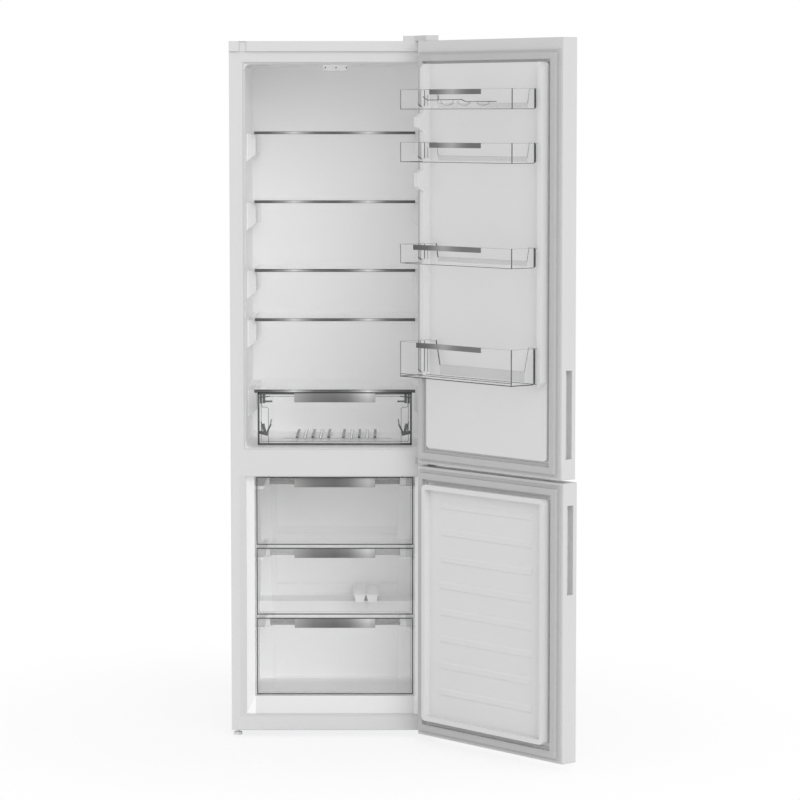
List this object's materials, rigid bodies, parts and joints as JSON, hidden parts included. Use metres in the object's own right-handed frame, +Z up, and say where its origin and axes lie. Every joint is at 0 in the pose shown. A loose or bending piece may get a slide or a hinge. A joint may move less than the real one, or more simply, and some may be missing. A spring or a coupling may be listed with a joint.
{
  "type": "bottom freezer refrigerator",
  "caption": "Tall white free-standing refrigerator over a freezer, both doors open, with glass shelves, clear drawers and clear door baskets.",
  "frame": {"origin": "on the floor, in the middle of the cabinet's footprint", "axes": "+Z up, doors towards -Y, hinges on the +X side"},
  "size_m": [0.9743, 1.1534, 2.03],
  "materials": {
    "cabinet_enamel": "gloss",
    "liner_plastic": "satin",
    "trim_plastic": "satin",
    "gasket_rubber": "matte",
    "foam": "matte",
    "clear_plastic": "gloss",
    "shelf_glass": "gloss",
    "shelf_trim_metal": "satin",
    "zinc_steel": "satin",
    "black_steel": "satin",
    "finned_aluminium": "satin",
    "dark_plastic": "matte",
    "mount_rubber": "matte"
  },
  "bodies": {
    "cabinet": {"outer_shell": "cabinet_enamel", "rear_panel": "zinc_steel", "cabinet_foam": "foam", "fridge_liner": "liner_plastic", "freezer_liner": "liner_plastic", "top_fascia": "trim_plastic", "mid_rail": "cabinet_enamel", "base_plinth": "cabinet_enamel", "base_tray": "zinc_steel", "hinge_blanks": "trim_plastic", "top_hinge": "zinc_steel", "top_hinge_cover": "trim_plastic", "mid_hinge": "cabinet_enamel", "bottom_hinge": "zinc_steel", "hinge_screws": "zinc_steel", "lamp_housing": "trim_plastic", "lamp_lens": "clear_plastic", "air_duct_cover": "liner_plastic", "evaporator": "finned_aluminium", "fan_motor": "dark_plastic", "compressor": "black_steel", "compressor_mounts": "mount_rubber", "condenser_coil": "black_steel", "drip_tray": "dark_plastic", "mains_inlet": "dark_plastic", "crisper_glass": "shelf_glass", "crisper_trim": "shelf_trim_metal"},
    "upper_door": {"upper_door_skin": "cabinet_enamel", "upper_door_liner": "liner_plastic", "upper_door_foam": "foam", "upper_door_gasket": "gasket_rubber", "upper_door_trims": "trim_plastic"},
    "lower_door": {"lower_door_skin": "cabinet_enamel", "lower_door_liner": "liner_plastic", "lower_door_foam": "foam", "lower_door_gasket": "gasket_rubber", "lower_door_trims": "trim_plastic"},
    "fan": {"fan_rotor": "dark_plastic"},
    "left_roller": {"roller_left": "dark_plastic"},
    "right_roller": {"roller_right": "dark_plastic"},
    "left_foot": {"foot_left": "trim_plastic"},
    "right_foot": {"foot_right": "trim_plastic"},
    "crisper": {"crisper_drawer": "clear_plastic"},
    "top_drawer": {"freezer_drawer_top": "clear_plastic"},
    "middle_drawer": {"freezer_drawer_middle": "clear_plastic", "ice_tray": "trim_plastic"},
    "bottom_drawer": {"freezer_drawer_bottom": "clear_plastic"},
    "shelf_1": {"shelf_glass_1": "shelf_glass", "shelf_trim_1": "shelf_trim_metal"},
    "basket_1": {"door_basket_1": "clear_plastic", "egg_tray": "clear_plastic"},
    "shelf_2": {"shelf_glass_2": "shelf_glass", "shelf_trim_2": "shelf_trim_metal"},
    "basket_2": {"door_basket_2": "clear_plastic"},
    "shelf_3": {"shelf_glass_3": "shelf_glass", "shelf_trim_3": "shelf_trim_metal"},
    "basket_3": {"door_basket_3": "clear_plastic"},
    "shelf_4": {"shelf_glass_4": "shelf_glass", "shelf_trim_4": "shelf_trim_metal"},
    "basket_4": {"door_basket_4": "clear_plastic"}
  },
  "joints": [
    {"name": "upper_door_swing", "type": "hinge", "parent": "cabinet", "child": "upper_door", "pos_m": [0.283, -0.3555, 0.8105], "axis": [0, 0, 1], "range_deg": [-130.5, 0]},
    {"name": "lower_door_swing", "type": "hinge", "parent": "cabinet", "child": "lower_door", "pos_m": [0.283, -0.3555, 0.024], "axis": [0, 0, 1], "range_deg": [-131.2, 0]},
    {"name": "shelf_1_slide", "type": "slide", "parent": "cabinet", "child": "shelf_1", "axis": [0, -1, 0], "range_m": [0, 0.24]},
    {"name": "shelf_2_slide", "type": "slide", "parent": "cabinet", "child": "shelf_2", "axis": [0, -1, 0], "range_m": [0, 0.24]},
    {"name": "shelf_3_slide", "type": "slide", "parent": "cabinet", "child": "shelf_3", "axis": [0, -1, 0], "range_m": [0, 0.24]},
    {"name": "shelf_4_slide", "type": "slide", "parent": "cabinet", "child": "shelf_4", "axis": [0, -1, 0], "range_m": [0, 0.24]},
    {"name": "crisper_slide", "type": "slide", "parent": "cabinet", "child": "crisper", "axis": [0, -1, 0], "range_m": [0, 0.24]},
    {"name": "top_drawer_slide", "type": "slide", "parent": "cabinet", "child": "top_drawer", "axis": [0, -1, 0], "range_m": [0, 0.3]},
    {"name": "middle_drawer_slide", "type": "slide", "parent": "cabinet", "child": "middle_drawer", "axis": [0, -1, 0], "range_m": [0, 0.3]},
    {"name": "bottom_drawer_slide", "type": "slide", "parent": "cabinet", "child": "bottom_drawer", "axis": [0, -1, 0], "range_m": [0, 0.22]},
    {"name": "basket_1_lift", "type": "slide", "parent": "upper_door", "child": "basket_1", "axis": [0, 0, 1], "range_m": [0, 0.02]},
    {"name": "basket_2_lift", "type": "slide", "parent": "upper_door", "child": "basket_2", "axis": [0, 0, 1], "range_m": [0, 0.02]},
    {"name": "basket_3_lift", "type": "slide", "parent": "upper_door", "child": "basket_3", "axis": [0, 0, 1], "range_m": [0, 0.02]},
    {"name": "basket_4_lift", "type": "slide", "parent": "upper_door", "child": "basket_4", "axis": [0, 0, 1], "range_m": [0, 0.02]},
    {"name": "left_foot_turn", "type": "hinge", "parent": "cabinet", "child": "left_foot", "pos_m": [-0.284, -0.2565, 0.004], "axis": [0, 0, 1], "continuous": true},
    {"name": "right_foot_turn", "type": "hinge", "parent": "cabinet", "child": "right_foot", "pos_m": [0.284, -0.2565, 0.004], "axis": [0, 0, 1], "continuous": true},
    {"name": "left_roller_roll", "type": "hinge", "parent": "cabinet", "child": "left_roller", "pos_m": [-0.27, 0.2615, 0.015], "axis": [1, 0, 0], "continuous": true},
    {"name": "right_roller_roll", "type": "hinge", "parent": "cabinet", "child": "right_roller", "pos_m": [0.27, 0.2615, 0.015], "axis": [1, 0, 0], "continuous": true},
    {"name": "fan_spin", "type": "hinge", "parent": "cabinet", "child": "fan", "pos_m": [0, 0.1845, 0.664], "axis": [0, -1, 0], "continuous": true}
  ]
}
